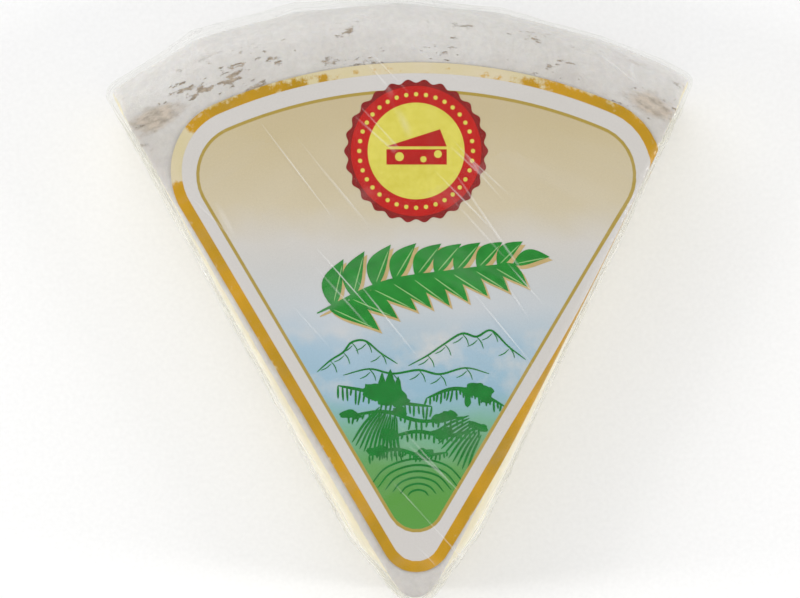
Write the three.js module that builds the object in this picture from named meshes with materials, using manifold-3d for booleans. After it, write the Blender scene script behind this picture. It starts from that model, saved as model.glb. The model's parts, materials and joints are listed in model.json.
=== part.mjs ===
// A wedge of soft white-rind cheese cut from a wheel, with a paper label on its top face and a clear film
// wrapped round both. Millimetres, +Z up. The wedge rests on its base with its point towards -Y and its
// rim towards +Y, and the origin is in the middle of that base.
import * as THREE from 'three';
import { mergeVertices } from 'three/addons/utils/BufferGeometryUtils.js';
import Module from 'manifold-3d';

const wasm = await Module();
wasm.setup();

// The wheel, and the wedge that is cut from it.
const wheelRadius = 114;      // to the widest part of the rim
const wheelHeight = 28;
const wedgeAngle = 57;        // degrees between the two cuts
const cutSpread = 2.4;        // how far each cut passes outside the middle of the wheel
const shoulderRadius = 9;     // rounds the rim into the top face
const footRadius = 6;         // rounds the rim into the base
const cutEdgeRadius = 1.2;    // softens the long edges of each cut face
const cutBulge = 3.5;         // how far the soft paste swells out of a cut at half height, at the point
const bulgeFade = 4;          // degrees by which that swelling closes towards the rim
const cornerRadius = 4;       // the upright corners between the cuts and the rim
const pointRadius = 8;        // the upright nose where the two cuts meet

// The label, a sector of its own that is glued on a little askew and bends over the edge of one cut.
const labelFlare = 5;         // degrees by which its long sides open wider than the cuts
const labelRimMargin = 10;    // from its curved side to the widest part of the rim
const labelCentreShift = 6;   // from the middle of the wheel to the centre of that curved side
const labelSpread = 2.3;      // how far its long sides pass outside the centre of that curve
const labelPointRadius = 4;
const labelCornerRadius = 14;
const labelThickness = 0.3;
const labelTurn = -1.6;       // degrees, clockwise as seen from above

// The film, one sheet whose two edges meet along the base.
const filmThickness = 0.3;
const clearance = 0.35;       // under the label, and between the cheese and the film's base
const filmSlack = 0.6;        // between the label and the film
const seamWidth = 0.6;
const seamLength = 64;

// How finely the outlines, the upright roundings and the label are divided.
const wedgeSteps = { nose: 12, side: 6, corner: 6, rim: 26 };
const labelSteps = { nose: 8, side: 12, corner: 16, rim: 14 };
const roundingSteps = 5;
const bellySteps = 6;
const labelInnerRings = [0.12, 0.45, 0.7];   // shares of the way from the label's middle to its outline
const labelEdgeStart = 0.79;  // from here on the rings are close, because the label bends there
const labelEdgeSteps = 14;

const radians = THREE.MathUtils.degToRad;
const cheeseBase = filmThickness + clearance;
const cheeseTop = cheeseBase + wheelHeight;
const filmGap = clearance + labelThickness + filmSlack;
const labelRadius = wheelRadius - labelRimMargin - labelCentreShift;

// The outline of a sector about the origin, anticlockwise: a round point towards -Y, a straight side, a
// round corner, the curved rim, and back. spread is how far each side passes outside the origin.
function sectorOutline({ angle, rim, spread, point, corner }, steps) {
  const half = radians(angle / 2);
  const along = Math.sqrt((rim - corner) ** 2 - (spread - corner) ** 2);
  const out = new THREE.Vector2(Math.cos(half), -Math.sin(half));
  const up = new THREE.Vector2(Math.sin(half), Math.cos(half));
  const cornerMiddle = out.clone().multiplyScalar(spread - corner).addScaledVector(up, along);
  const cornerEnd = cornerMiddle.angle();
  const arc = (x, y, radius, from, to) => new THREE.EllipseCurve(x, y, radius, radius, from, to);
  const line = (from, to) => new THREE.LineCurve(from.getPoint(1), to.getPoint(0));
  const nose = arc(0, (point - spread) / Math.sin(half), point, half - Math.PI, -half);
  const right = arc(cornerMiddle.x, cornerMiddle.y, corner, -half, cornerEnd);
  const far = arc(0, 0, rim, cornerEnd, Math.PI - cornerEnd);
  const left = arc(-cornerMiddle.x, cornerMiddle.y, corner, Math.PI - cornerEnd, Math.PI + half);
  const stretches = [
    [nose, steps.nose],
    [line(nose, right), steps.side],
    [right, steps.corner],
    [far, steps.rim],
    [left, steps.corner],
    [line(left, nose), steps.side],
  ];
  return stretches.flatMap(([curve, count]) => curve.getPoints(count).slice(0, -1));
}

// A closed skin over a stack of rings that have the same number of points, made by moving the vertices of
// a cylinder. Its two end caps meet in the middle of the first and the last ring.
function loft(rings) {
  const columns = rings[0].length;
  const levels = rings.length - 1;
  const geometry = new THREE.CylinderGeometry(1, 1, levels, columns, levels);
  const place = geometry.getAttribute('position');
  const middle = (ring) => ring.reduce((sum, p) => sum.add(p), new THREE.Vector3()).divideScalar(columns);
  for (let i = 0; i < place.count; i++) {
    const ring = rings[Math.round(place.getY(i) + levels / 2)];
    const turn = Math.atan2(place.getX(i), place.getZ(i)) / (2 * Math.PI);
    const onAxis = Math.hypot(place.getX(i), place.getZ(i)) < 0.5;
    const spot = onAxis ? middle(ring) : ring[Math.round(turn * columns + columns) % columns];
    place.setXYZ(i, spot.x, spot.y, spot.z);
  }
  return geometry;
}

// How far a rounded edge has drawn in at a height above the edge's flat end.
const roundedIn = (radius, height) =>
  height >= radius ? 0 : radius - Math.sqrt(radius ** 2 - (radius - height) ** 2);

// Heights from 0 to total: close together in the two roundings and even in between.
function levelsOf(total, foot, shoulder) {
  const rise = (radius) => Array.from({ length: roundingSteps },
    (_, i) => radius * (1 - Math.cos((i / roundingSteps) * Math.PI / 2)));
  const belly = total - foot - shoulder;
  const even = Array.from({ length: bellySteps + 1 }, (_, i) => foot + (belly * i) / bellySteps);
  return [...rise(foot), ...even, ...rise(shoulder).map((height) => total - height).reverse()];
}

// The share of its full swelling that a cut has at a height above the base.
const bellyAt = (height, total) => 4 * (height / total) * (1 - height / total);

// The wedge's shape, grown outwards by grow and standing between two heights.
function wedgeSkin(grow, base, top) {
  const total = top - base;
  const shoulder = shoulderRadius + grow;
  const foot = footRadius + grow;
  const edge = cutEdgeRadius + grow;
  const rings = levelsOf(total, foot, shoulder).map((height) => {
    const belly = bellyAt(height, total);
    const rimIn = roundedIn(foot, height) + roundedIn(shoulder, total - height);
    const edgeIn = roundedIn(edge, height) + roundedIn(edge, total - height);
    const outline = sectorOutline({
      angle: wedgeAngle - bulgeFade * belly,
      rim: wheelRadius + grow - rimIn,
      spread: cutSpread + cutBulge * belly + grow - edgeIn,
      point: pointRadius + cutBulge * belly + grow - edgeIn,
      corner: cornerRadius + grow,
    }, wedgeSteps);
    return outline.map((p) => new THREE.Vector3(p.x, p.y, base + height));
  });
  return loft(rings);
}

// A point of a flat sheet laid on the top face, keeping its length: past the flat it bends round the
// nearest edge, and past a cut's edge it hangs down against that cut. lift is its height above the rind.
function laidOnTop(flat, lift) {
  const half = radians(wedgeAngle / 2);
  const spot = new THREE.Vector3(flat.x, flat.y, cheeseTop + lift);
  const bendOver = (away, start, radius, swelling) => {
    const past = Math.max(0, flat.dot(away) - start);
    const bend = Math.min(past / radius, Math.PI / 2);
    const hanging = past - bend * radius;
    const drop = (radius + lift) * (1 - Math.cos(bend)) + hanging;
    const outwards = (radius + lift) * Math.sin(bend) - past + swelling * bellyAt(drop, wheelHeight);
    spot.x += away.x * outwards;
    spot.y += away.y * outwards;
    spot.z -= drop;
  };
  for (const side of [-1, 1]) {
    const alongCut = flat.dot(new THREE.Vector2(side * Math.sin(half), Math.cos(half)));
    const swelling = cutBulge - alongCut * radians(bulgeFade / 2);
    const away = new THREE.Vector2(side * Math.cos(half), -Math.sin(half));
    bendOver(away, cutSpread - cutEdgeRadius, cutEdgeRadius, swelling);
  }
  bendOver(flat.clone().normalize(), wheelRadius - shoulderRadius, shoulderRadius, 0);
  return spot;
}

function labelSkin() {
  const outline = sectorOutline({
    angle: wedgeAngle + labelFlare,
    rim: labelRadius,
    spread: labelSpread,
    point: labelPointRadius,
    corner: labelCornerRadius,
  }, labelSteps);
  const centre = new THREE.Vector2(0, labelCentreShift);
  const middle = new THREE.Vector2(0, labelRadius / 2);
  const ring = (share, lift) =>
    outline.map((p) => {
      const flat = middle.clone().lerp(p, share).add(centre);
      return laidOnTop(flat.rotateAround(new THREE.Vector2(), radians(labelTurn)), lift);
    });
  const edgeRings = Array.from({ length: labelEdgeSteps + 1 },
    (_, i) => THREE.MathUtils.lerp(labelEdgeStart, 1, i / labelEdgeSteps));
  const shares = [...labelInnerRings, ...edgeRings];
  const under = shares.map((share) => ring(share, clearance));
  const over = shares.reverse().map((share) => ring(share, clearance + labelThickness));
  return loft([...under, ...over]);
}

function solidOf(geometry) {
  const bare = geometry.clone();
  bare.deleteAttribute('normal');
  bare.deleteAttribute('uv');
  const merged = mergeVertices(bare, 1e-4);
  return new wasm.Manifold(new wasm.Mesh({
    numProp: 3,
    vertProperties: merged.getAttribute('position').array,
    triVerts: new Uint32Array(merged.index.array),
  }));
}

function geometryOf(solid) {
  const mesh = solid.getMesh();
  return new THREE.BufferGeometry()
    .setAttribute('position', new THREE.BufferAttribute(mesh.vertProperties, 3))
    .setIndex(new THREE.BufferAttribute(mesh.triVerts, 1));
}

function filmSkin() {
  const outside = solidOf(wedgeSkin(filmGap + filmThickness, 0, cheeseTop + filmGap + filmThickness));
  const inside = solidOf(wedgeSkin(filmGap, filmThickness, cheeseTop + filmGap));
  const seam = new THREE.BoxGeometry(seamWidth, seamLength, cheeseBase);
  seam.translate(0, wheelRadius / 2 + pointRadius, 0);
  return geometryOf(outside.subtract(inside).subtract(solidOf(seam)));
}

function piece(name, geometry, material) {
  const mesh = new THREE.Mesh(geometry, new THREE.MeshStandardMaterial(material));
  mesh.name = name;
  return mesh;
}

const rindAndPaste = { color: 0xe9e3d8, roughness: 0.85, metalness: 0 };
const coatedPaper = { color: 0xf1efec, roughness: 0.45, metalness: 0 };
const clearFilm = { color: 0xf7f7f5, roughness: 0.12, metalness: 0, transparent: true, opacity: 0.25 };

const wedge = new THREE.Group();
wedge.add(piece('cheese_wedge', wedgeSkin(0, cheeseBase, cheeseTop), rindAndPaste));
wedge.add(piece('paper_label', labelSkin(), coatedPaper));
wedge.add(piece('film_wrap', filmSkin(), clearFilm));

// The wheel's centre moves so that the middle of the wedge's base is at the origin.
const extent = new THREE.Box3().setFromObject(wedge);
wedge.position.sub(extent.getCenter(new THREE.Vector3()).setZ(extent.min.z));

export default wedge;
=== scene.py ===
import json
import math
import random

import bmesh
import bpy
from mathutils import Matrix, Vector, geometry, noise

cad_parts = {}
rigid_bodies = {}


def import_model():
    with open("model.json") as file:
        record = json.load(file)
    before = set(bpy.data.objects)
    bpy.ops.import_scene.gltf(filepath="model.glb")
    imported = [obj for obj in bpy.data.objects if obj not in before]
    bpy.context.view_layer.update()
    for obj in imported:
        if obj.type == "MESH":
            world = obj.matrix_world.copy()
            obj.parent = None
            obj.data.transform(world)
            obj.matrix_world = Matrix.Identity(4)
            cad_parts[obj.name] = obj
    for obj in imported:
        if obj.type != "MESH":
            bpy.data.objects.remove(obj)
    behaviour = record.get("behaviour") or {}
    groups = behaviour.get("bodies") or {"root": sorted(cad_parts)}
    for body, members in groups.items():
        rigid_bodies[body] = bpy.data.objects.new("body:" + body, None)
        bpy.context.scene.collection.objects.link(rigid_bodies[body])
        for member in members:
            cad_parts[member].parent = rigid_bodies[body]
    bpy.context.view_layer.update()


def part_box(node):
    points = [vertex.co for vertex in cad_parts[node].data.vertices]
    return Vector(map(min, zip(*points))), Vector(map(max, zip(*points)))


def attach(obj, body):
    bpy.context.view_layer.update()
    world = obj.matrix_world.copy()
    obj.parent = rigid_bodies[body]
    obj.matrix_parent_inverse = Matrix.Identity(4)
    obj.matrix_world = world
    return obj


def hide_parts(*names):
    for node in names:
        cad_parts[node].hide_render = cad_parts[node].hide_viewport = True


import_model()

mm = 0.001
cheeseLow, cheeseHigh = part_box("cheese_wedge")
filmLow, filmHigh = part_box("film_wrap")

# the wheel that the wedge was cut from; the other pieces are placed from it
wheel = {
    "radius": 114 * mm,
    "shoulder": 9 * mm,  # rounds the rim into the top
    "foot": 6 * mm,  # rounds the rim into the base
    "height": cheeseHigh.z - cheeseLow.z,
    "base": cheeseLow.z,
}
middle = Vector((0, cheeseHigh.y - wheel["radius"], 0))
top = cheeseHigh.z


# small helpers

def clearSelection():
    if bpy.context.object and bpy.context.object.mode != "OBJECT":
        bpy.ops.object.mode_set(mode="OBJECT")
    bpy.ops.object.select_all(action="DESELECT")


def makeActive(piece):
    clearSelection()
    piece.select_set(True)
    bpy.context.view_layer.objects.active = piece


def named(name):  # names what an operator has just added
    piece = bpy.context.object
    piece.name = name
    piece.data.name = name
    bpy.ops.object.transform_apply(location=True, rotation=True, scale=True)
    return piece


def copyOf(piece, name):
    makeActive(piece)
    bpy.ops.object.duplicate(linked=False)
    return named(name)


def pick(piece, kind, test):  # in edit mode, selects the vertices, edges or faces that pass the test
    makeActive(piece)
    bpy.ops.object.mode_set(mode="EDIT")
    bpy.ops.mesh.select_mode(type=kind)
    bpy.ops.mesh.select_all(action="DESELECT")
    mesh = bmesh.from_edit_mesh(piece.data)
    for part in {"VERT": mesh.verts, "EDGE": mesh.edges, "FACE": mesh.faces}[kind]:
        if test(part):
            part.select_set(True)
    mesh.select_flush_mode()
    bmesh.update_edit_mesh(piece.data)


def applied(piece, kind, **settings):
    makeActive(piece)
    modifier = piece.modifiers.new(kind.lower(), kind)
    for key, value in settings.items():
        setattr(modifier, key, value)
    bpy.ops.object.modifier_apply(modifier=modifier.name)


def smoothStep(low, high, x):
    t = min(1, max(0, (x - low) / (high - low)))  # low may be above high, for a falling step
    return t * t * (3 - 2 * t)


def weigh(piece, name, share):  # a vertex group whose weight is a share worked out from each place
    group = piece.vertex_groups.new(name=name)
    for v in piece.data.vertices:
        weight = share(v)
        if weight > 0.001:
            group.add([v.index], weight, "REPLACE")
    return name


def clouds(name, size, depth=2):
    texture = bpy.data.textures.new(name, "CLOUDS")
    texture.noise_scale = size
    texture.noise_depth = depth
    return texture


# where a point stands on the wheel and on the wedge

def wheelDepth(spot):  # how deep a point lies under the wheel's rounded skin
    across = wheel["radius"] - math.hypot(spot.x - middle.x, spot.y - middle.y)
    height = spot.z - wheel["base"]
    up = wheel["height"] - height
    near, rounding = (up, wheel["shoulder"]) if up < height else (height, wheel["foot"])
    a, b = rounding - across, rounding - near
    return rounding - math.hypot(max(a, 0), max(b, 0)) - min(max(a, b), 0)


def belly(spot):  # 0 at the top and the base, 1 half way up
    share = (spot.z - wheel["base"]) / wheel["height"]
    return max(0, 4 * share * (1 - share))


# the cheese: rind and paste are one body, so it is one mesh

cheese = {
    "cutAngle": math.radians(57),
    "cutSpread": 2.4 * mm,  # each cut passes this far outside the middle of the wheel
    "noseRadius": 5.1 * mm,
    "noseFade": (1.5 * mm, 15 * mm),  # the paste stands out less towards the point
    "cornerRadius": 3.5 * mm,
    "bulge": 3.5 * mm,  # the soft paste stands out of the cuts
    "rimStand": 2.7 * mm,  # the rim stands out of true by as much as this on one side
    "rimStandFades": (24, -16),  # degrees round the rim, from nothing to all of it
    "rimStandCorner": (-33, -26),  # and where it draws in again at the corner
    "rimFacet": 10,  # degrees: the rim runs in nearly straight spans of this width
    "rimShare": 0.8,  # of that, what the cheese fills
    "bulgeFade": math.radians(2),  # the paste stands out less towards the rim
    "voxel": 0.75 * mm,
    "lumps": 0.7 * mm,
    "lumpSize": 22 * mm,
    "rindRelief": 0.22 * mm,
    "rindGrain": 2.6 * mm,
    "eyes": 46,
    "eyeSize": (0.7 * mm, 1.9 * mm),
    "eyeDepth": 0.7 * mm,
    "dents": 0.3 * mm,  # in the paste
    "dentSize": 5 * mm,
    "wornSet": math.radians(1.3),  # the handled ends of the rim are rubbed: how far in from the cut
    "wornSize": (11, 4.5),  # millimetres along the rim and across it
}


def cutWay(side):  # points straight out of a cut
    half = cheese["cutAngle"] / 2
    return Vector((side * math.cos(half), -math.sin(half), 0))


def cutDistance(spot, side):  # how far inside a cut a point lies
    return cheese["cutSpread"] - (spot - middle).dot(cutWay(side))


def alongCut(spot, side):
    half = cheese["cutAngle"] / 2
    flat = spot - middle
    return side * flat.x * math.sin(half) + flat.y * math.cos(half)


def cornerShare(v):  # 1 on the two upright corners between a cut and the rim
    fromRim = wheel["radius"] - (v.co - middle).xy.length
    fromCut = min(cutDistance(v.co, -1), cutDistance(v.co, 1))
    reach = 2 * cheese["cornerRadius"]
    return (1 - smoothStep(reach / 2, reach, fromRim)) * (1 - smoothStep(reach / 2, reach, fromCut))


def swelling(v):
    most = 0
    for side in (-1, 1):
        near = 1 - smoothStep(5 * mm, 11 * mm, cutDistance(v.co, side))
        fade = 1 - alongCut(v.co, side) * cheese["bulgeFade"] / cheese["bulge"]
        most = max(most, near * max(0, fade))
    most *= smoothStep(*cheese["noseFade"], v.co.y - middle.y)
    return most * belly(v.co)


def trueStand(turn):
    rise = smoothStep(*cheese["rimStandFades"], turn) * smoothStep(*cheese["rimStandCorner"], turn)
    return wheel["radius"] + cheese["rimStand"] * rise


def rimStand(turn):  # how far the rim stands outside a true circle, in nearly straight spans
    start = math.floor(turn / cheese["rimFacet"]) * cheese["rimFacet"]
    end = start + cheese["rimFacet"]
    first, last = trueStand(start), trueStand(end)
    one, two = math.radians(turn - start), math.radians(end - turn)
    across = first * math.sin(one) + last * math.sin(two)
    return max(0, first * last * math.sin(one + two) / across - wheel["radius"])


def makeCheese():
    bpy.ops.mesh.primitive_cylinder_add(
        vertices=300, radius=wheel["radius"], depth=wheel["height"],
        location=(middle.x, middle.y, wheel["base"] + wheel["height"] / 2))
    piece = named("soft_cheese")
    for level, rounding in ((top, wheel["shoulder"]), (wheel["base"], wheel["foot"])):
        pick(piece, "EDGE", lambda e: all(abs(v.co.z - level) < 0.1 * mm for v in e.verts))
        bpy.ops.mesh.bevel(offset=rounding, segments=10, affect="EDGES")
    for side in (-1, 1):  # the two strokes of the knife
        bpy.ops.mesh.select_all(action="SELECT")
        bpy.ops.mesh.bisect(
            plane_co=middle + cutWay(side) * cheese["cutSpread"], plane_no=cutWay(side),
            use_fill=True, clear_outer=True, clear_inner=False)
    pick(piece, "EDGE", lambda e: all(
        abs(cutDistance(v.co, -1)) < 0.05 * mm and abs(cutDistance(v.co, 1)) < 0.05 * mm for v in e.verts))
    bpy.ops.mesh.bevel(
        offset=cheese["noseRadius"] / math.tan(cheese["cutAngle"] / 2), segments=16, affect="EDGES")
    bpy.ops.object.mode_set(mode="OBJECT")
    applied(piece, "REMESH", mode="VOXEL", voxel_size=cheese["voxel"], use_smooth_shade=True)
    applied(piece, "SMOOTH", factor=0.5, iterations=6)

    corners = weigh(piece, "corners", cornerShare)
    applied(piece, "SMOOTH", factor=0.5, iterations=30, vertex_group=corners)

    depth = piece.data.attributes.new("depth", "FLOAT", "POINT")  # under the rind, kept for the material
    for v in piece.data.vertices:
        depth.data[v.index].value = wheelDepth(v.co) / mm

    for v in piece.data.vertices:
        flat = v.co - middle
        turn = math.degrees(math.atan2(flat.x, flat.y))
        onRim = smoothStep(24 * mm, 3 * mm, wheel["radius"] - flat.xy.length)
        v.co += Vector((flat.x, flat.y, 0)).normalized() * onRim * rimStand(turn) * cheese["rimShare"]
    group = weigh(piece, "swelling", swelling)
    applied(piece, "DISPLACE", strength=cheese["bulge"], mid_level=0, vertex_group=group)
    walls = weigh(piece, "walls", lambda v: belly(v.co))
    applied(piece, "DISPLACE", strength=cheese["lumps"], mid_level=0.5, vertex_group=walls,
            texture=clouds("cheeseLumps", cheese["lumpSize"]), texture_coords="LOCAL")
    return piece


def addEyes(piece):  # small holes and dents in the two cut faces
    dice = random.Random(11)
    size = cheese["eyeSize"]
    eyes = []
    for i in range(cheese["eyes"]):
        side = dice.choice((-1, 1))
        along = dice.uniform(12, 106) * mm
        height = wheel["base"] + dice.uniform(3, 25) * mm
        half = cheese["cutAngle"] / 2
        spot = middle + cutWay(side) * cheese["cutSpread"]
        spot += Vector((side * math.sin(half), math.cos(half), 0)) * along
        spot.z = height
        eyes.append((spot, side, dice.uniform(*size), dice.uniform(0.5, 1)))
    for v in piece.data.vertices:
        for spot, side, reach, strength in eyes:
            gap = v.co - spot
            gap -= cutWay(side) * gap.dot(cutWay(side))
            if abs(gap.x) < reach and gap.length < reach and cutDistance(v.co, side) < 2 * mm:
                push = strength * cheese["eyeDepth"] * (1 - smoothStep(0.3, 1, gap.length / reach))
                v.co -= cutWay(side) * push


def finishCheese(piece):
    depth = piece.data.attributes["depth"].data
    rind = weigh(piece, "rind", lambda v: 1 - smoothStep(0.8, 1.8, depth[v.index].value))
    paste = weigh(piece, "paste", lambda v: smoothStep(0.8, 1.8, depth[v.index].value))
    applied(piece, "DISPLACE", strength=cheese["rindRelief"], mid_level=0.5, vertex_group=rind,
            texture=clouds("rindGrain", cheese["rindGrain"], 4), texture_coords="LOCAL")
    applied(piece, "DISPLACE", strength=cheese["dents"], mid_level=0.5, vertex_group=paste,
            texture=clouds("pasteDents", cheese["dentSize"]), texture_coords="LOCAL")
    addEyes(piece)
    makeActive(piece)
    bpy.ops.object.shade_smooth()


body = makeCheese()
print("cheese body:", len(body.data.vertices), "vertices")


# the label: a thin printed sheet that bends down over the edge of one cut

label = {
    "angle": math.radians(61.2),
    "radius": 97.4 * mm,
    "centreShift": 5.4 * mm,  # its curve is struck from a point ahead of the wheel's middle
    "spread": 3.6 * mm,
    "point": 6.8 * mm,
    "corner": 14 * mm,
    "turn": math.radians(-1.6),  # glued on a little askew
    "edgeRadius": 1.3 * mm,
    "lift": 0.2 * mm,
    "thickness": 0.15 * mm,
    "grid": 1.5 * mm,
    "panelRadius": 91.9 * mm,  # the printed panel inside the border
    "panelSpread": -1.1 * mm,
    "panelPoint": 5.4 * mm,
    "panelCorner": 9.5 * mm,
    "inkInset": 0.3 * mm,
    "paintedHighlightCorner": (-43.5, 84.5, 0),  # where a painted highlight pales the gold at the label's corner, in millimetres on the flat label
    "bakeCorner": Vector((-0.05, -0.003, 0)),  # the square that the bake covers
    "bakeSize": 0.11,
    "bakeUnder": 0.2,  # the unseen underside takes a corner of it, this much as large
}


def arcPoints(x, y, radius, start, end, steps):
    for i in range(steps):
        angle = start + (end - start) * i / steps
        yield Vector((x + radius * math.cos(angle), y + radius * math.sin(angle), 0))


def sectorOutline(angle, radius, spread, point, corner, fine=60):
    half = angle / 2
    along = math.sqrt((radius - corner) ** 2 - (spread - corner) ** 2)
    out = Vector((math.cos(half), -math.sin(half)))
    up = Vector((math.sin(half), math.cos(half)))
    turn = out * (spread - corner) + up * along
    end = math.atan2(turn.y, turn.x)
    nose = (point - spread) / math.sin(half)
    points = [*arcPoints(0, nose, point, half - math.pi, -half, fine // 3)]
    points += arcPoints(turn.x, turn.y, corner, -half, end, fine // 2)
    points += arcPoints(0, 0, radius, end, math.pi - end, fine)
    points += arcPoints(-turn.x, turn.y, corner, math.pi - end, math.pi + half, fine // 2)
    shift = Vector((0, label["centreShift"], 0))
    return [p + shift for p in points]


def outlineDistance(spot, outline):  # positive inside
    nearest, inside = 1, False
    for a, b in zip(outline, outline[1:] + outline[:1]):
        way = b - a
        share = min(1, max(0, (spot - a).dot(way) / way.length_squared))
        nearest = min(nearest, (spot - a - way * share).length)
        if (a.y > spot.y) != (b.y > spot.y) and spot.x < a.x + (spot.y - a.y) / (b.y - a.y) * (b.x - a.x):
            inside = not inside
    return nearest if inside else -nearest


def laidOnTop(flat, lift):  # takes a point of the flat label to its place on the cheese
    spot = Matrix.Rotation(label["turn"], 3, "Z") @ Vector((flat.x, flat.y, 0))
    place = middle + spot
    place.z = top + lift
    for side in (-1, 1):
        past = spot.dot(cutWay(side)) - (cheese["cutSpread"] - label["edgeRadius"])
        if past > 0:
            bend = min(past / label["edgeRadius"], math.pi / 2)
            hanging = past - bend * label["edgeRadius"]
            reach = label["edgeRadius"] + lift
            drop = reach * (1 - math.cos(bend)) + hanging
            swell = cheese["bulge"] - alongCut(middle + spot, side) * cheese["bulgeFade"]
            swell *= belly(Vector((0, 0, top - drop)))
            place += cutWay(side) * (reach * math.sin(bend) - past + swell)
            place.z -= drop
    past = spot.length - (wheel["radius"] - wheel["shoulder"])
    if past > 0:
        bend = past / wheel["shoulder"]
        reach = wheel["shoulder"] + lift
        place += spot.normalized() * (reach * math.sin(bend) - past)
        place.z -= reach * (1 - math.cos(bend))
    return place


def gridCut(piece, size):  # slices a flat piece both ways, so that it can bend
    makeActive(piece)
    bpy.ops.object.mode_set(mode="EDIT")
    low, high = Vector(piece.bound_box[0]), Vector(piece.bound_box[6])
    for axis in (Vector((1, 0, 0)), Vector((0, 1, 0))):
        start, end = low.dot(axis), high.dot(axis)
        for i in range(1, int((end - start) / size) + 1):
            bpy.ops.mesh.select_all(action="SELECT")
            bpy.ops.mesh.bisect(plane_co=axis * (start + i * size), plane_no=axis)
    bpy.ops.object.mode_set(mode="OBJECT")


def bendLines(piece):  # closer cuts along both edges where the label may bend over
    back = Matrix.Rotation(-label["turn"], 3, "Z")
    bpy.ops.object.mode_set(mode="EDIT")
    for side in (-1, 1):
        way = back @ cutWay(side)
        start = cheese["cutSpread"] - label["edgeRadius"]
        for i in range(10):
            bpy.ops.mesh.select_all(action="SELECT")
            bpy.ops.mesh.bisect(plane_co=way * (start + i * 0.3 * label["edgeRadius"]), plane_no=way)
    bpy.ops.object.mode_set(mode="OBJECT")


panelOutline = sectorOutline(
    label["angle"], label["panelRadius"], label["panelSpread"], label["panelPoint"], label["panelCorner"])
inkEdge = sectorOutline(  # no ink but the seal passes this line, just inside the panel's border
    label["angle"], label["panelRadius"] - label["inkInset"], label["panelSpread"] - label["inkInset"],
    label["panelPoint"] - label["inkInset"], label["panelCorner"] - label["inkInset"])


def makeLabel():
    outline = sectorOutline(
        label["angle"], label["radius"], label["spread"], label["point"], label["corner"])
    bpy.ops.mesh.primitive_circle_add(vertices=len(outline), radius=label["radius"], fill_type="NGON")
    piece = named("paper_label_sheet")
    for v, spot in zip(piece.data.vertices, outline):
        v.co = spot
    gridCut(piece, label["grid"])
    bendLines(piece)
    flats = [v.co.copy() for v in piece.data.vertices]
    rim = [outlineDistance(p, outline) / mm for p in flats]
    panel = [outlineDistance(p, panelOutline) / mm for p in flats]
    for name in ("print", "border", "OFBake"):
        piece.data.uv_layers.new(name=name)
    flatPlace, border, bake = [piece.data.uv_layers[name].data for name in ("print", "border", "OFBake")]
    low, size = label["bakeCorner"], label["bakeSize"]
    for loop in piece.data.loops:
        i = loop.vertex_index
        flatPlace[loop.index].uv = flats[i].x / mm, flats[i].y / mm
        border[loop.index].uv = rim[i], panel[i]
        bake[loop.index].uv = (flats[i].x - low.x) / size, (flats[i].y - low.y) / size
    for v in piece.data.vertices:
        v.co = laidOnTop(v.co, label["lift"])
    faces = len(piece.data.polygons)
    applied(piece, "SOLIDIFY", thickness=label["thickness"], offset=1)
    for face in piece.data.polygons[faces:]:
        for i in face.loop_indices:
            uv = piece.data.uv_layers["OFBake"].data[i].uv
            piece.data.uv_layers["OFBake"].data[i].uv = uv * label["bakeUnder"]
    bpy.ops.object.shade_smooth_by_angle(angle=math.radians(40))
    return piece


labelSheet = makeLabel()
print("label:", len(labelSheet.data.polygons), "faces")


# what is printed on the label: a seal, a leafy sprig and a landscape, each a thin layer of ink

ink = {
    "lift": 0.02 * mm,  # over the paper, and over the ink below
    "thickness": 0.02 * mm,
    "sealMiddle": (0, 85.7),  # the places and sizes of the prints are in millimetres on the flat label
    "sealRadius": 13.5,
    "sprigStart": (-19, 54.5),
    "sprigEnd": (19, 64),
}


def alongCurve(points, steps):  # a smooth line through a few points
    ends = [points[0] * 2 - points[1], *points, points[-1] * 2 - points[-2]]
    for a, b, c, d in zip(ends, ends[1:], ends[2:], ends[3:]):
        for i in range(steps):
            t = i / steps
            yield 0.5 * (2 * b + (c - a) * t + (2 * a - 5 * b + 4 * c - d) * t ** 2
                         + (3 * b - a - 3 * c + d) * t ** 3)
    yield points[-1]


def brush(points, width, steps=6, taper=0.25):  # the outline of a stroke that thins towards its ends
    line = list(alongCurve([Vector(p) for p in points], steps))
    left, right = [], []
    for i, p in enumerate(line):
        way = (line[min(i + 1, len(line) - 1)] - line[max(i - 1, 0)]).normalized()
        share = i / (len(line) - 1)
        half = width / 2 * (taper + (1 - taper) * math.sin(math.pi * share) ** 0.5)
        across = Vector((-way.y, way.x)) * half
        left.append(p + across)
        right.append(p - across)
    return left + right[::-1]


def leaf(x, y, angle, length, width):
    way = Vector((math.cos(angle), math.sin(angle)))
    across = Vector((-way.y, way.x))
    outline = []
    for side in (1, -1):
        shares = [i / 12 for i in range(12)]
        for t in shares if side == 1 else [1 - t for t in shares]:
            bend = 0.12 * length * math.sin(math.pi * t)
            half = width / 2 * math.sin(math.pi * t ** 0.8)
            outline.append(Vector((x, y)) + way * length * t + across * (side * half + bend))
    return outline


def disc(x, y, radius, scallops=0, depth=0.0, steps=120):
    outline = []
    for i in range(steps):
        turn = 2 * math.pi * i / steps
        r = radius * (1 + depth * math.cos(scallops * turn))
        outline.append(Vector((x + r * math.cos(turn), y + r * math.sin(turn))))
    return outline


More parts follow.
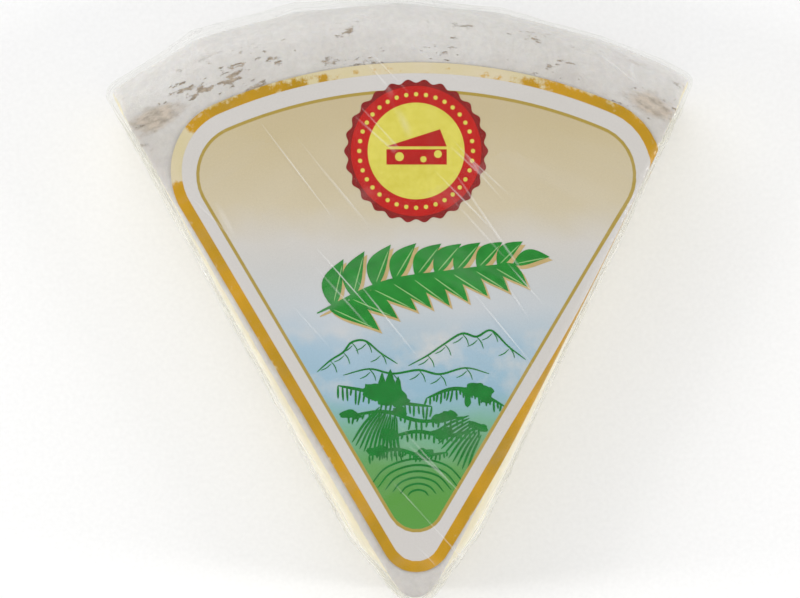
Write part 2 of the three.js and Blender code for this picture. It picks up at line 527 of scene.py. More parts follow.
def printed(name, outlines, layer, edge=None):  # lays one ink on the label, as one thin piece
    spots, loops = [], []
    for outline in [edge or [(p.x / mm, p.y / mm) for p in inkEdge], *outlines]:
        line = [Vector((p[0], p[1])) for p in outline]
        turning = sum(a.cross(b) for a, b in zip(line, line[1:] + line[:1]))
        loops.append(list(range(len(spots), len(spots) + len(line))))
        spots += line if turning > 0 else line[::-1]
    found = geometry.delaunay_2d_cdt(spots, [], loops, 1, 0.0001)
    corners, faces, sources = found[0], found[2], found[5]
    kept = [face for face, source in zip(faces, sources) if 0 in source and len(source) > 1]
    used = sorted({i for face in kept for i in face})
    place = {i: count for count, i in enumerate(used)}
    height = label["lift"] + label["thickness"] + ink["lift"] * layer
    mesh = bpy.data.meshes.new(name)
    mesh.from_pydata([laidOnTop(corners[i] * mm, height) for i in used], [],
                     [[place[i] for i in face] for face in kept])
    piece = bpy.data.objects.new(name, mesh)
    bpy.context.collection.objects.link(piece)
    applied(piece, "SOLIDIFY", thickness=ink["thickness"], offset=1)
    return piece


def sealPrints():
    x, y = ink["sealMiddle"]
    size = ink["sealRadius"]
    wedgeMark = [(-6.2, -2.2), (6.4, -2.2), (6.4, 1.0), (-6.2, 1.0)]
    topMark = [(-6.2, 1.6), (6.4, 1.6), (5.0, 5.2)]
    marks = [[(x + 0.92 * a, y + 0.92 * b - 0.6) for a, b in mark] for mark in (wedgeMark, topMark)]
    holes = [disc(x - 3.2, y - 1.1, 0.85), disc(x + 1.4, y - 1.6, 0.6), disc(x + 4.2, y - 0.6, 0.75)]
    ring = [disc(x + 0.81 * size * math.cos(a), y + 0.81 * size * math.sin(a), 0.42, steps=14)
            for a in (2 * math.pi * i / 36 for i in range(36))]
    edge = disc(x, y, 1.2 * size)
    layers = (
        ("seal_edge", [disc(x, y, size, 26, 0.025, 312)]),
        ("seal_red", [disc(x, y, 0.93 * size)]),
        ("seal_pale", [disc(x, y, 0.69 * size), *ring]),
        ("seal_mark", marks),
        ("seal_holes", holes),
    )
    return [printed(name, outlines, i + 1, edge) for i, (name, outlines) in enumerate(layers)]


def sprigShapes():
    start, end = Vector(ink["sprigStart"]), Vector(ink["sprigEnd"])
    bow = Vector((0, 2.6))
    stem = [start, start.lerp(end, 0.33) + bow, start.lerp(end, 0.66) + bow * 0.6, end]
    shapes = [brush(stem, 0.9, steps=10)]
    line = list(alongCurve(stem, 30))
    count = 9
    for i in range(count):
        share = 0.07 + 0.84 * i / (count - 1)
        at = line[int(share * (len(line) - 1))]
        way = line[min(int(share * (len(line) - 1)) + 1, len(line) - 1)] - at
        slope = math.atan2(way.y, way.x)
        length = 11.2 - 3.6 * share
        for side in (-1, 1):
            angle = slope + side * math.radians(52 - 16 * share)
            spot = at + Vector((0.5 * side, 0))
            shapes.append(leaf(spot.x, spot.y, angle, length * (0.86 if side > 0 else 1), 4.0 - 1.1 * share))
    shapes.append(leaf(end.x - 0.4, end.y - 0.1, math.atan2(1.2, 6), 7.2, 2.8))
    return shapes


def sprigPrints():
    shapes = sprigShapes()
    shade = [[p + Vector((0.55, -0.65)) for p in outline] for outline in shapes]
    veins = []
    for outline in shapes[1:]:
        base, tip = outline[0], outline[12]
        veins.append(brush([base.lerp(tip, 0.12), base.lerp(tip, 0.5), base.lerp(tip, 0.86)], 0.22))
    layers = (("sprig_shade", shade), ("sprig_leaves", shapes), ("sprig_veins", veins))
    return [printed(name, outlines, i + 1) for i, (name, outlines) in enumerate(layers)]


def blob(x, y, size, dice):
    outline = []
    for i in range(16):
        turn = 2 * math.pi * i / 16
        r = size * dice.uniform(0.78, 1.15)
        outline.append(Vector((x + 1.25 * r * math.cos(turn), y + 0.85 * r * math.sin(turn))))
    return outline


def poplar(x, y, height, dice):
    outline = []
    for side in (1, -1):
        for i in range(10):
            share = i / 9 if side == 1 else 1 - i / 9
            half = 0.17 * height * math.sin(math.pi * share ** 0.7) ** 0.8 * dice.uniform(0.8, 1.15)
            outline.append(Vector((x + side * half + 0.05, y + height * share)))
    return outline


def landscape():
    dice = random.Random(5)
    marks = []
    ridges = (  # far hills, in thin lines with a few strokes of shade
        [(-19, 43.2), (-16.5, 45.4), (-14, 47.0), (-12.4, 48.9), (-9.8, 49.2), (-7, 47.0), (-3.6, 44.8)],
        [(-1.5, 44.4), (2.2, 46.4), (5.4, 48.6), (8.8, 50.6), (11.6, 50.0), (14.4, 51.2), (17.6, 48.2),
         (21, 45.6)],
        [(-14, 42.6), (-9, 43.8), (-4.5, 42.9), (0.5, 43.6), (4.5, 42.8), (9.5, 44.0), (14, 42.9)],
    )
    for points in ridges:
        marks.append(brush(points, 0.42))
        for x, y in points[1:-1]:
            marks.append(brush([(x, y), (x + 0.9, y - 1.1), (x + 1.3, y - 2.3)], 0.2))
            marks.append(brush([(x + 0.2, y - 0.6), (x - 0.7, y - 1.4), (x - 1.8, y - 1.9)], 0.2))
    slopes = (
        ([(-15, 40.6), (-9, 39.4), (-3, 37.4), (3, 36.6)], 2.4),
        ([(2, 38.2), (7, 40.0), (12, 39.2), (17, 36.6)], 2.0),
        ([(-13, 34.8), (-6, 35.6), (1, 33.8), (9, 34.6)], 1.8),
        ([(-6, 30.4), (0, 31.8), (6, 31.0), (12, 32.4)], 1.6),
        ([(-9, 27.2), (-4, 28.4), (1, 27.2), (6, 27.8)], 1.3),
    )
    for points, deep in slopes:  # nearer slopes: a firm line with hatching under it
        marks.append(brush(points, 0.75))
        line = list(alongCurve([Vector(p) for p in points], 14))
        for p in line[::2]:
            fall = deep * dice.uniform(0.6, 1.3)
            lean = dice.uniform(-0.5, 0.2)
            marks.append(brush([p, p + Vector((lean * 0.4, -fall * 0.5)), p + Vector((lean, -fall))], 0.42))
    fields = (
        ((-3, 39.5), 5.0, 13.5, -2.5, -1.72, 12),
        ((16, 36.0), 6.0, 13.5, -2.95, -2.2, 10),
    )
    for (x, y), near, far, start, end, count in fields:  # rows that spread from one point
        for i in range(count):
            a = start + (end - start) * i / (count - 1)
            row = [(x + r * math.cos(a + 0.02 * (r - near)), y + r * math.sin(a + 0.02 * (r - near)))
                   for r in (near, (near + far) / 2, far)]
            marks.append(brush(row, 0.5))
    for i in range(6):  # the rounded field in front
        size = 2.0 + 1.45 * i
        arc = [(0.4 + size * 1.05 * math.cos(a), 19.0 + size * 0.82 * math.sin(a))
               for a in (math.radians(d) for d in (18, 55, 92, 129, 162))]
        marks.append(brush(arc, 0.42))
    for points, deep in slopes:  # bushes stand along the slopes in small groups
        line = list(alongCurve([Vector(p) for p in points], 14))
        for group in range(3):
            at = line[dice.randrange(len(line))]
            size = dice.uniform(0.45, 0.75) * deep
            for i in range(4):
                marks.append(blob(at.x + dice.uniform(-1.6, 1.6), at.y + dice.uniform(0, 0.9), size, dice))
    for x, y, height in ((-6.6, 38.6, 4.6), (-5.0, 38.2, 5.6), (-3.5, 38.0, 4.4), (9.8, 36.4, 4.0)):
        marks.append(poplar(x, y, height, dice))
    return [printed("landscape_lines", marks, 1)]


prints = sealPrints() + sprigPrints() + landscape()
print("prints:", len(prints), "layers")


# the film: drawn tight round the cheese, with loose folds on the rim and pleats down the cuts

film = {
    "gap": 0.62 * mm,  # its outside over the bare cheese, where it also has to clear the label
    "cling": 0.24 * mm,  # and lower down the walls, below the label
    "thickness": 0.05 * mm,
    "crease": 0.65 * mm,  # how far the long creases stand out on the walls
    "creaseLength": 26 * mm,
    "creaseWidth": 3.0 * mm,
    "slack": 0.3 * mm,  # broad, soft stand-off on the walls
    "slackSize": 13 * mm,
    "gather": 1.3 * mm,  # drawn together in a nub at the point
    "gatherWidth": 2.6 * mm,
    "rimShare": 0.4,  # of how far the rim stands out, what the film adds to the cheese's share
    "loose": 0.18 * mm,  # over the flat top
    "looseSize": 14 * mm,
    "offFloor": 0.03 * mm,
    "flat": (0.26, 0.24),  # metres: a piece off the roll that meets under the base
    "used": 0.031,  # square metres of it
    "bundles": 4,  # stretch lines run across the label in loose bundles
    "linesInBundle": 3,
    "lineSlope": -53,  # degrees, the way the film was pulled
    "lineLength": (10, 30),  # millimetres, as the next three are
    "lineWidth": (0.3, 0.75),
    "lineSpread": 4,
    "bundleReach": (48, 92),  # how far from the wheel's middle
}


def ridge(spot):  # 1 on thin lines, falling to 0 between them
    return max(0, 1 - 2.4 * abs(noise.noise(spot)))


def roundTheWall(spot):  # millimetres along the wall from the point, the same way on both sides
    flat = spot - middle
    fromRim = wheel["radius"] - flat.xy.length
    side = 1 if flat.x > 0 else -1
    if fromRim > cutDistance(spot, side):
        return alongCut(spot, side)
    turn = cheese["cutAngle"] / 2 - abs(math.atan2(flat.x, flat.y))
    return wheel["radius"] * (1 + turn)


def makeFilm(core):
    piece = copyOf(core, "clear_film_wrap")
    normals = [v.normal.copy() for v in piece.data.vertices]
    for v, out in zip(piece.data.vertices, normals):
        low = smoothStep(21 * mm, 16 * mm, v.co.z) * smoothStep(0.3, 0.85, out.xy.length)
        v.co += out * (film["gap"] + (film["cling"] - film["gap"]) * low)
    wrap = piece.data.attributes.new("wrap", "FLOAT_VECTOR", "POINT")  # kept for the material, in millimetres
    for v, out in zip(piece.data.vertices, normals):
        along = roundTheWall(v.co)
        rise = v.co.z - wheel["base"]
        flat = v.co - middle
        turn = math.degrees(math.atan2(flat.x, flat.y))
        wall = smoothStep(0.3, 0.85, out.xy.length)
        wrap.data[v.index].vector = along / mm, rise / mm, v.co.x / mm

        sloping = (rise + 0.13 * along) / film["creaseWidth"]
        spot = Vector((along / film["creaseLength"], sloping, v.co.x / (60 * mm)))
        onRim = smoothStep(9 * mm, 3 * mm, wheel["radius"] - flat.xy.length)
        lift = wall * film["crease"] * (0.7 * ridge(spot) ** 2 + 0.3 * ridge(spot * 2.3) ** 2)
        lift *= 1 - 0.75 * onRim
        spot = Vector((along / film["slackSize"], rise / (2 * film["slackSize"]), v.co.x / (60 * mm)))
        lift += wall * film["slack"] * (0.5 + noise.noise(spot))
        onRim *= smoothStep(2 * mm, 9 * mm, rise) * smoothStep(0.15, 0.6, out.xy.length)
        lift += onRim * film["rimShare"] * rimStand(turn)
        v.co += Vector((out.x, out.y, 0)) * lift

        pinch = (1 - smoothStep(0, film["gatherWidth"], abs(flat.x))) * smoothStep(11 * mm, 3 * mm, flat.y)
        v.co.y -= film["gather"] * pinch * wall
        if wall < 0.5 and rise > wheel["height"] / 2:  # over the flat top it lies a little loose
            swell = noise.noise(Vector((v.co.x, v.co.y, 0)) / film["looseSize"])
            v.co.z += film["loose"] * (swell + 0.3)
        if wall < 0.5 and rise < wheel["height"] / 2:
            v.co.z = max(v.co.z, filmLow.z + film["offFloor"])
    applied(piece, "SOLIDIFY", thickness=film["thickness"], offset=-1)
    makeActive(piece)
    bpy.ops.object.shade_smooth()
    return piece


filmSheet = makeFilm(body)
finishCheese(body)
print("film:", len(filmSheet.data.polygons), "faces")


# materials

def paint(code):  # an sRGB hex colour as the linear one that a shader takes
    parts = [int(code[i:i + 2], 16) / 255 for i in (1, 3, 5)]
    return (*[p / 12.92 if p <= 0.04045 else ((p + 0.055) / 1.055) ** 2.4 for p in parts], 1)


def put(tree, kind, settings):  # adds a node; a setting may be a plain value or another node's output
    node = tree.nodes.new("ShaderNode" + kind)
    for key, value in settings.items():
        if key == "stops":
            for place, colour in value[2:]:
                node.color_ramp.elements.new(place)
            for element, (place, colour) in zip(node.color_ramp.elements, sorted(value)):
                element.position = place
                element.color = paint(colour) if isinstance(colour, str) else (colour, colour, colour, 1)
            continue
        if isinstance(key, str) and key not in node.inputs:
            setattr(node, key, value)
            continue
        if isinstance(value, str):
            value = paint(value)
        if isinstance(value, bpy.types.Node):
            value = value.outputs[0]
        if isinstance(value, bpy.types.NodeSocket):
            tree.links.new(value, node.inputs[key])
        else:
            node.inputs[key].default_value = value
    return node


def newMaterial(name):
    material = bpy.data.materials.new(name)
    material.use_nodes = True
    material.node_tree.nodes.clear()
    return material, material.node_tree


def surface(material, shader):
    tree = material.node_tree
    put(tree, "OutputMaterial", {"Surface": shader})
    return material


def give(piece, material):
    piece.data.materials.clear()
    piece.data.materials.append(material)
    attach(piece, "root")


perMetre = 1 / mm  # a noise scale of 1 * perMetre makes patches about a millimetre wide


def fromOval(tree, place, spot, turn, length, width):  # 0 in the oval's middle, 1 on its edge
    near = put(tree, "Mapping", {
        "vector_type": "TEXTURE", "Vector": place, "Location": (spot.x, spot.y, 0), "Rotation": (0, 0, turn),
        "Scale": (length / 2 * mm, width / 2 * mm, 1)})
    return put(tree, "VectorMath", {"operation": "LENGTH", 0: near}).outputs["Value"]


def bloomyCheese():
    # white-mould cheese: the rind is a dry, velvety felt, rubbed through to tan on the shoulder;
    # the cut paste is ivory, moist and a little see-through, yellower just under the rind
    material, tree = newMaterial("bloomy_rind_soft_cheese")
    place = put(tree, "TexCoord", {}).outputs["Object"]
    depth = put(tree, "Attribute", {"attribute_name": "depth"}).outputs["Fac"]
    patchy = put(tree, "TexNoise", {
        "Vector": place, "Scale": 0.09 * perMetre, "Detail": 6, "Roughness": 0.6})
    felt = put(tree, "TexNoise", {
        "Vector": place, "Scale": 0.9 * perMetre, "Detail": 5, "Roughness": 0.7})
    mottle = put(tree, "TexNoise", {"Vector": place, "Scale": 0.25 * perMetre, "Detail": 6})

    fromMiddle = put(tree, "VectorMath", {"operation": "SUBTRACT", 0: place, 1: middle})
    flat = put(tree, "VectorMath", {"operation": "MULTIPLY", 0: fromMiddle, 1: (1, 1, 0)})
    radius = put(tree, "VectorMath", {"operation": "LENGTH", 0: flat}).outputs["Value"]
    rise = put(tree, "MapRange", {
        "Value": radius, "From Min": 0.0985, "From Max": 0.104, "interpolation_type": "SMOOTHSTEP"})
    fall = put(tree, "MapRange", {
        "Value": radius, "From Min": 0.1095, "From Max": 0.1125, "To Min": 1, "To Max": 0,
        "interpolation_type": "SMOOTHSTEP"})
    band = put(tree, "Math", {"operation": "MULTIPLY", 0: rise, 1: fall})
    parts = put(tree, "SeparateXYZ", {"Vector": fromMiddle})
    turn = put(tree, "Math", {"operation": "ARCTAN2", 0: parts.outputs["X"], 1: parts.outputs["Y"]})
    along = put(tree, "Math", {"operation": "MULTIPLY", 0: turn, 1: 0.4 * wheel["radius"]})
    ringwise = put(tree, "CombineXYZ", {"X": along, "Y": radius, "Z": parts.outputs["Z"]})
    rubbed = put(tree, "TexNoise", {
        "Vector": ringwise, "Scale": 0.3 * perMetre, "Detail": 7, "Roughness": 0.72})
    broken = put(tree, "TexNoise", {
        "Vector": ringwise, "Scale": 1.3 * perMetre, "Detail": 4, "Roughness": 0.6})
    both = put(tree, "Math", {"operation": "MULTIPLY_ADD", 0: broken, 1: 0.45, 2: rubbed})
    specks = put(tree, "MapRange", {"Value": both, "From Min": 0.825, "From Max": 0.865})
    specks = put(tree, "Math", {"operation": "MULTIPLY", 0: specks, 1: band})
    length, width = cheese["wornSize"]
    for side in (-1, 1):
        turn = side * (cheese["cutAngle"] / 2 - cheese["wornSet"])
        spot = middle + Vector((math.sin(turn), math.cos(turn), 0)) * (wheel["radius"] - wheel["shoulder"])
        near = fromOval(tree, place, spot, -turn, length, width)
        near = put(tree, "Math", {"operation": "MULTIPLY_ADD", 0: rubbed, 1: 2.4, 2: near})
        near = put(tree, "MapRange", {
            "Value": near, "From Min": 1.7, "From Max": 2.3, "To Min": 0.75, "To Max": 0})
        specks = put(tree, "Math", {"operation": "MAXIMUM", 0: specks, 1: near})

    rind = put(tree, "ValToRGB", {
        "Fac": patchy, "stops": [(0.3, "#c5c0bc"), (0.7, "#d1cecb"), (0.5, "#cbc7c3")]})
    # painted highlight: the rind is painted lighter from the shoulder out over the rim's outer wall, where
    # the light falls on it
    outer = put(tree, "MapRange", {"Value": radius, "From Min": 0.104, "From Max": 0.113, "To Max": 0.7})
    rind = put(tree, "MixRGB", {"Fac": outer, "Color1": rind, "Color2": "#dddbd9"})
    fuzz = put(tree, "MapRange", {
        "Value": felt, "From Min": 0.3, "From Max": 0.7, "To Min": 0.92, "To Max": 1.05})
    rind = put(tree, "VectorMath", {"operation": "SCALE", 0: rind, "Scale": fuzz})
    tan = put(tree, "ValToRGB", {"Fac": broken, "stops": [(0.4, "#c6b6a4"), (0.65, "#8e8170")]})
    rind = put(tree, "MixRGB", {"Fac": specks, "Color1": rind, "Color2": tan})

    uneven = put(tree, "Math", {"operation": "MULTIPLY_ADD", 0: mottle, 1: 2.2, 2: depth})
    paste = put(tree, "MapRange", {"Value": uneven, "From Min": 1.5, "From Max": 13})
    paste = put(tree, "ValToRGB", {
        "Fac": paste, "stops": [(0.0, "#e3d6ae"), (1.0, "#f3eddb"), (0.35, "#ece3c6")]})
    dents = put(tree, "MapRange", {
        "Value": mottle, "From Min": 0.3, "From Max": 0.7, "To Min": 0.95, "To Max": 1.03})
    paste = put(tree, "VectorMath", {"operation": "SCALE", 0: paste, "Scale": dents})

    edge = put(tree, "Math", {"operation": "MULTIPLY_ADD", 0: felt, 1: 1.0, 2: depth})
    inside = put(tree, "MapRange", {"Value": edge, "From Min": 1.2, "From Max": 1.7})
    colour = put(tree, "MixRGB", {"Fac": inside, "Color1": rind, "Color2": paste})
    rough = put(tree, "MapRange", {"Value": inside, "To Min": 0.9, "To Max": 0.42})
    bump = put(tree, "Bump", {"Height": felt, "Strength": 0.5, "Distance": 0.25 * mm})
    bump = put(tree, "Bump", {"Height": specks, "Strength": 0.6, "Distance": -0.3 * mm, "Normal": bump})
    bump = put(tree, "Bump", {"Height": mottle, "Strength": 0.35, "Distance": 0.6 * mm, "Normal": bump})
    shader = put(tree, "BsdfPrincipled", {
        "Base Color": colour, "Roughness": rough, "Normal": bump, "Sheen Weight": 0.25,
        "Sheen Roughness": 0.5,
        "Subsurface Weight": 0.12, "Subsurface Radius": (3 * mm, 2 * mm, 1 * mm), "Subsurface Scale": 1.0,
        "Specular IOR Level": 0.4})
    return surface(material, shader)


def printedPaper():
    # coated label paper, offset printed: smooth, faintly glossy, with a bronze-gold border and a
    # soft wash of colour that runs from cream through white and sky to green
    material, tree = newMaterial("offset_printed_label_paper")
    spot = put(tree, "SeparateXYZ", {"Vector": put(tree, "UVMap", {"uv_map": "print"})})
    rims = put(tree, "SeparateXYZ", {"Vector": put(tree, "UVMap", {"uv_map": "border"})})
    place = put(tree, "TexCoord", {}).outputs["Object"]
    wash = put(tree, "TexNoise", {"Vector": place, "Scale": 0.06 * perMetre, "Detail": 3})
    grain = put(tree, "TexNoise", {"Vector": place, "Scale": 3 * perMetre, "Detail": 3})
    cloudy = put(tree, "TexNoise", {
        "Vector": place, "Scale": 0.11 * perMetre, "Detail": 5, "Roughness": 0.55})

    tilt = put(tree, "Math", {"operation": "MULTIPLY_ADD", 0: wash, 1: 9, 2: spot.outputs["Y"]})
    height = put(tree, "MapRange", {"Value": tilt, "From Min": 4.5 + 10, "From Max": 4.5 + 100})
    wash = put(tree, "ValToRGB", {"Fac": height, "stops": [
        (0.0, "#579640"), (1.0, "#c0af8c"), (0.10, "#55943b"), (0.17, "#5c994f"), (0.25, "#78ab92"),
        (0.32, "#8fb2c6"),
        (0.41, "#9fb9cb"), (0.50, "#c0c5ca"), (0.64, "#cbc7c2"), (0.72, "#c9bda2"), (0.88, "#c3b491")]})
    puffs = put(tree, "MapRange", {"Value": cloudy, "From Min": 0.5, "From Max": 0.68, "To Max": 0.75})
    sky = put(tree, "MapRange", {"Value": spot.outputs["Y"], "From Min": 36, "From Max": 42})
    puffs = put(tree, "Math", {"operation": "MULTIPLY", 0: puffs, 1: sky})
    puffs = put(tree, "MixRGB", {"Fac": puffs, "Color1": wash, "Color2": "#cbcac9"})
    low = put(tree, "MapRange", {"Value": spot.outputs["Y"], "From Min": 50, "From Max": 54})
    panel = put(tree, "MixRGB", {"Fac": low, "Color1": puffs, "Color2": wash})

    gold = put(tree, "ValToRGB", {"Fac": cloudy, "stops": [(0.3, "#ab8400"), (0.7, "#c89404")]})
    inPanel = put(tree, "MapRange", {"Value": rims.outputs["Y"], "From Min": 0.27, "From Max": 0.33})
    nearLine = put(tree, "Math", {"operation": "ABSOLUTE", 0: rims.outputs["Y"]})
    line = put(tree, "MapRange", {
        "Value": nearLine, "From Min": 0.28, "From Max": 0.34, "To Min": 1, "To Max": 0})
    band = put(tree, "MapRange", {
        "Value": rims.outputs["X"], "From Min": 2.05, "From Max": 2.12, "To Min": 1, "To Max": 0})
    colour = put(tree, "MixRGB", {"Fac": inPanel, "Color1": "#ccc8c5", "Color2": panel})
    colour = put(tree, "MixRGB", {"Fac": line, "Color1": colour, "Color2": "#a8903f"})
    colour = put(tree, "MixRGB", {"Fac": band, "Color1": colour, "Color2": gold})
    # the rind's white mould has crept over the gold along the top; at the left corner the gold is paled by a
    # painted highlight
    high = put(tree, "MapRange", {"Value": spot.outputs["Y"], "From Min": 88, "From Max": 96})
    sideways = put(tree, "Math", {"operation": "ABSOLUTE", 0: spot.outputs["X"]})
    central = put(tree, "MapRange", {
        "Value": sideways, "From Min": 12, "From Max": 27, "To Min": 0.36, "To Max": 0.1})
    # painted highlight: the gold pales round the label's left corner
    corner = put(tree, "VectorMath", {"operation": "DISTANCE", 0: put(tree, "UVMap", {"uv_map": "print"}),
                                      1: label["paintedHighlightCorner"]}).outputs["Value"]
    corner = put(tree, "MapRange", {
        "Value": corner, "From Min": 3, "From Max": 6.5, "To Min": 0.5, "To Max": 0})
    worn = put(tree, "MapRange", {
        "Value": rims.outputs["X"], "From Min": 0.1, "From Max": 1.1, "To Min": 0.13, "To Max": 0})
    reach = put(tree, "Math", {"operation": "MULTIPLY_ADD", 0: high, 1: central, 2: corner})
    reach = put(tree, "Math", {"operation": "ADD", 0: reach, 1: worn})
    bloomWearAndHighlight = put(tree, "TexNoise", {
        "Vector": place, "Scale": 0.35 * perMetre, "Detail": 6, "Roughness": 0.7})
    bloomWearAndHighlight = put(tree, "Math", {"operation": "ADD", 0: reach, 1: bloomWearAndHighlight})
    bloomWearAndHighlight = put(tree, "MapRange", {"Value": bloomWearAndHighlight, "From Min": 0.68, "From Max": 0.80, "To Max": 0.82})
    bloomWearAndHighlight = put(tree, "Math", {"operation": "MULTIPLY", 0: bloomWearAndHighlight, 1: band})
    # the pale colour of the mould along the top, also used for the painted highlight at the corner
    bloomAndHighlight = put(tree, "MixRGB", {"Fac": cloudy, "Color1": "#d3c98e", "Color2": "#d8d3c8"})
    colour = put(tree, "MixRGB", {"Fac": bloomWearAndHighlight, "Color1": colour, "Color2": bloomAndHighlight})
    fibre = put(tree, "MapRange", {
        "Value": grain, "From Min": 0.3, "From Max": 0.7, "To Min": 0.97, "To Max": 1.03})
    colour = put(tree, "VectorMath", {"operation": "SCALE", 0: colour, "Scale": fibre})
    bump = put(tree, "Bump", {"Height": wash, "Strength": 0.2, "Distance": 0.05 * mm})
    shader = put(tree, "BsdfPrincipled", {
        "Base Color": colour, "Roughness": 0.38, "Normal": bump, "Specular IOR Level": 0.15})
    return surface(material, shader)


def printingInk(name, light, dark):
    # offset ink on coated paper: flat and satin, a touch uneven where it soaked in
    material, tree = newMaterial(name)
    place = put(tree, "TexCoord", {}).outputs["Object"]
    patchy = put(tree, "TexNoise", {
        "Vector": place, "Scale": 0.5 * perMetre, "Detail": 5, "Roughness": 0.65})
    colour = put(tree, "ValToRGB", {"Fac": patchy, "stops": [(0.35, dark), (0.65, light)]})
    bump = put(tree, "Bump", {"Height": patchy, "Strength": 0.15, "Distance": 0.02 * mm})
    shader = put(tree, "BsdfPrincipled", {
        "Base Color": colour, "Roughness": 0.36, "Normal": bump, "Specular IOR Level": 0.12})
    return surface(material, shader)


def stretchFilm():
    # cast food film: clear and glossy; where it is creased or stretched it turns faintly milky
    material, tree = newMaterial("clear_cling_film")
    place = put(tree, "TexCoord", {}).outputs["Object"]
    wrap = put(tree, "Attribute", {"attribute_name": "wrap"}).outputs["Vector"]
    sloping = put(tree, "Mapping", {
        "Vector": wrap, "Rotation": (0, 0, math.radians(9)), "Scale": (1, 1, 0.02)})
    long = put(tree, "VectorMath", {"operation": "MULTIPLY", 0: sloping, 1: (0.05, 1, 1)})
    pleats = put(tree, "TexNoise", {"Vector": long, "Scale": 0.9, "Detail": 4, "Roughness": 0.6})
    slanting = put(tree, "Mapping", {
        "vector_type": "TEXTURE", "Vector": place, "Rotation": (0, 0, math.radians(-48)),
        "Scale": (16, 1, 1)})
    lines = put(tree, "TexVoronoi", {
        "Vector": slanting, "Scale": 0.16 * perMetre, "feature": "DISTANCE_TO_EDGE"})
    lines = put(tree, "MapRange", {
        "Value": lines, "From Min": 0, "From Max": 0.03, "To Min": 1, "To Max": 0})
    swirl = put(tree, "TexNoise", {"Vector": place, "Scale": 0.05 * perMetre, "Detail": 2})
    where = put(tree, "MapRange", {"Value": swirl, "From Min": 0.55, "From Max": 0.66, "To Max": 0.5})
    creases = put(tree, "Math", {"operation": "MULTIPLY", 0: lines, 1: where})
    dice = random.Random(8)
    for i in range(film["bundles"] * film["linesInBundle"]):
        if i % film["linesInBundle"] == 0:
            reach = dice.uniform(*film["bundleReach"])
            turn = dice.uniform(-0.7, 0.7) * cheese["cutAngle"] / 2
            heart = Vector((reach * math.sin(turn), reach * math.cos(turn), 0))
        off = Vector((dice.gauss(0, 1), dice.gauss(0, 1), 0)) * film["lineSpread"]
        spot = middle + (heart + off) * mm
        length, width = dice.uniform(*film["lineLength"]), dice.uniform(*film["lineWidth"])
        slope = math.radians(dice.gauss(film["lineSlope"], 3))
        near = fromOval(tree, place, spot, slope, length, width)
        near = put(tree, "MapRange", {
            "Value": near, "From Min": 0.1, "From Max": 1, "To Min": dice.uniform(0.35, 1), "To Max": 0})
        creases = put(tree, "Math", {"operation": "MAXIMUM", 0: creases, 1: near})
    height = put(tree, "SeparateXYZ", {"Vector": place}).outputs["Z"]
    wall = put(tree, "MapRange", {"Value": height, "From Min": top - 3 * mm, "From Max": top + 0.2 * mm,
                                  "To Min": 1, "To Max": 0.12})
    streaks = put(tree, "MapRange", {"Value": pleats, "From Min": 0.48, "From Max": 0.68})
    along = put(tree, "SeparateXYZ", {"Vector": wrap}).outputs["X"]
    rim = put(tree, "MapRange", {
        "Value": along, "From Min": 100, "From Max": 106, "To Min": 1, "To Max": 0.3})
    streaks = put(tree, "Math", {"operation": "MULTIPLY", 0: streaks, 1: wall})
    streaks = put(tree, "Math", {"operation": "MULTIPLY", 0: streaks, 1: rim})
    milky = put(tree, "Math", {"operation": "MULTIPLY_ADD", 0: creases, 1: 0.55, 2: 0.008})
    milky = put(tree, "Math", {"operation": "MULTIPLY_ADD", 0: streaks, 1: 0.5, 2: milky})
    folds = put(tree, "Math", {"operation": "MULTIPLY", 0: pleats, 1: wall})
    bump = put(tree, "Bump", {"Height": folds, "Strength": 0.6, "Distance": 0.6 * mm})
    facing = put(tree, "LayerWeight", {"Blend": 0.5, "Normal": bump}).outputs["Facing"]
    gloss = put(tree, "Math", {"operation": "POWER", 0: facing, 1: 5.0})
    gloss = put(tree, "MapRange", {"Value": gloss, "To Min": 0.014, "To Max": 0.2})
    behind = put(tree, "NewGeometry", {}).outputs["Backfacing"]  # no mirror on the side that faces the cheese
    outside = put(tree, "Math", {"operation": "SUBTRACT", 0: 1.0, 1: behind})
    gloss = put(tree, "Math", {"operation": "MULTIPLY", 0: gloss, 1: outside})
    clear = put(tree, "BsdfTransparent", {"Color": (0.99, 0.99, 0.985, 1)})
    shine = put(tree, "BsdfAnisotropic", {"Color": (1, 1, 1, 1), "Roughness": 0.13, "Normal": bump})
    frost = put(tree, "BsdfTranslucent", {"Color": "#fafaf8"})
    white = put(tree, "BsdfDiffuse", {"Color": "#fafaf8", "Normal": bump})
    frost = put(tree, "MixShader", {"Fac": 0.85, 1: frost, 2: white})
    shader = put(tree, "MixShader", {"Fac": milky, 1: clear, 2: frost})
    shader = put(tree, "MixShader", {"Fac": gloss, 1: shader, 2: shine})
    return surface(material, shader)


def filmInside():
    # the film's inner skin, so thin that only its clearness shows
    material, tree = newMaterial("clear_cling_film_inside")
    place = put(tree, "TexCoord", {}).outputs["Object"]
    haze = put(tree, "TexNoise", {"Vector": place, "Scale": 0.05 * perMetre, "Detail": 1})
    tint = put(tree, "ValToRGB", {"Fac": haze, "stops": [(0.3, "#fcfcfb"), (0.7, "#fefefe")]})
    return surface(material, put(tree, "BsdfTransparent", {"Color": tint}))


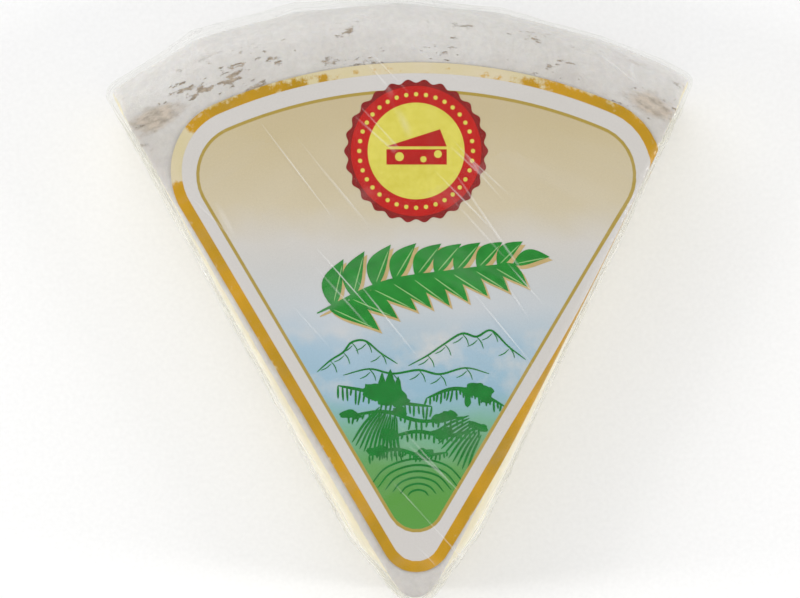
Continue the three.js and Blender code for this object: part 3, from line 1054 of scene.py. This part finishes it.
give(body, bloomyCheese())
give(labelSheet, printedPaper())
inks = {
    "seal_edge": ("#8a1410", "#79100d"),
    "seal_red": ("#be1408", "#b10a03"),
    "seal_pale": ("#d9cf5c", "#cfc44c"),
    "seal_mark": ("#b41209", "#a80a03"),
    "seal_holes": ("#d9cf5c", "#cfc44c"),
    "sprig_shade": ("#c3ab78", "#b79e68"),
    "sprig_leaves": ("#1d8a2b", "#137a22"),
    "sprig_veins": ("#8fbf7a", "#86b571"),
    "landscape_lines": ("#0d7b2a", "#076b20"),
}
for piece in prints:
    give(piece, printingInk(piece.name + "_ink", *inks[piece.name]))
give(filmSheet, stretchFilm())
filmSheet.data.materials.append(filmInside())
for face in filmSheet.data.polygons[len(filmSheet.data.polygons) // 2:]:
    face.material_index = 1
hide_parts("cheese_wedge")
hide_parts("paper_label")
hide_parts("film_wrap")
print("materials done")


# where it stands, the light and the camera

studio = {
    "floorSize": 2.4,
    "viewTilt": math.radians(88),
    "viewDistance": 0.7,
    "viewSpan": 0.1538,  # the width of the view at the height of the label
    "viewMiddle": Vector((-1.5 * mm, -0.2 * mm, 28 * mm)),
    "viewRoll": math.radians(1.6),
    "softboxes": (  # name, place, size in metres, watts
        ("rim_softbox", (-0.3, 0.9, 0.8), (1.0, 0.6), 3.4),
        ("left_softbox", (-0.9, -0.1, 0.28), (0.12, 0.9), 4.4),
        ("right_softbox", (0.9, -0.2, 0.28), (0.12, 0.9), 4.4)),
    "ambient": 0.72,
    "clearLayers": 32,  # the folded film is many clear layers deep
}


def makeFloor():
    bpy.ops.mesh.primitive_plane_add(size=studio["floorSize"], location=(0, 0, 0))
    floor = named("studio_floor")
    material, tree = newMaterial("white_studio_board")
    place = put(tree, "TexCoord", {}).outputs["Object"]
    grain = put(tree, "TexNoise", {"Vector": place, "Scale": 1.2 * perMetre, "Detail": 4})
    colour = put(tree, "ValToRGB", {"Fac": grain, "stops": [(0.3, "#f4f4f4"), (0.7, "#f8f8f8")]})
    floor.data.materials.append(surface(material, put(tree, "BsdfPrincipled", {
        "Base Color": colour, "Roughness": 0.9, "Specular IOR Level": 0.1})))


def addSoftbox(name, spot, size, power, aim=Vector((0, 0, 0.01))):
    bpy.ops.object.light_add(type="AREA", location=spot)
    light = bpy.context.object
    light.name = name
    light.data.shape = "RECTANGLE"
    light.data.size, light.data.size_y = size
    light.data.energy = power
    light.rotation_euler = (aim - light.location).to_track_quat("-Z", "Y").to_euler()


def addCamera():
    tilt = studio["viewTilt"]
    away = Vector((0, -math.cos(tilt), math.sin(tilt)))
    bpy.ops.object.camera_add(location=studio["viewMiddle"] + away * studio["viewDistance"])
    camera = bpy.context.object
    turn = (-away).to_track_quat("-Z", "Y").to_matrix() @ Matrix.Rotation(-studio["viewRoll"], 3, "Z")
    camera.rotation_euler = turn.to_euler()
    camera.data.lens = camera.data.sensor_width * studio["viewDistance"] / studio["viewSpan"]
    bpy.context.scene.camera = camera


makeFloor()
world = bpy.data.worlds.new("studio_world")
bpy.context.scene.world = world
world.use_nodes = True
world.node_tree.nodes["Background"].inputs["Color"].default_value = (1, 1, 1, 1)
world.node_tree.nodes["Background"].inputs["Strength"].default_value = studio["ambient"]
for name, spot, size, power in studio["softboxes"]:
    addSoftbox(name, spot, size, power)
addCamera()
bpy.context.scene.view_settings.view_transform = "Standard"
bpy.context.scene.cycles.transparent_max_bounces = studio["clearLayers"]
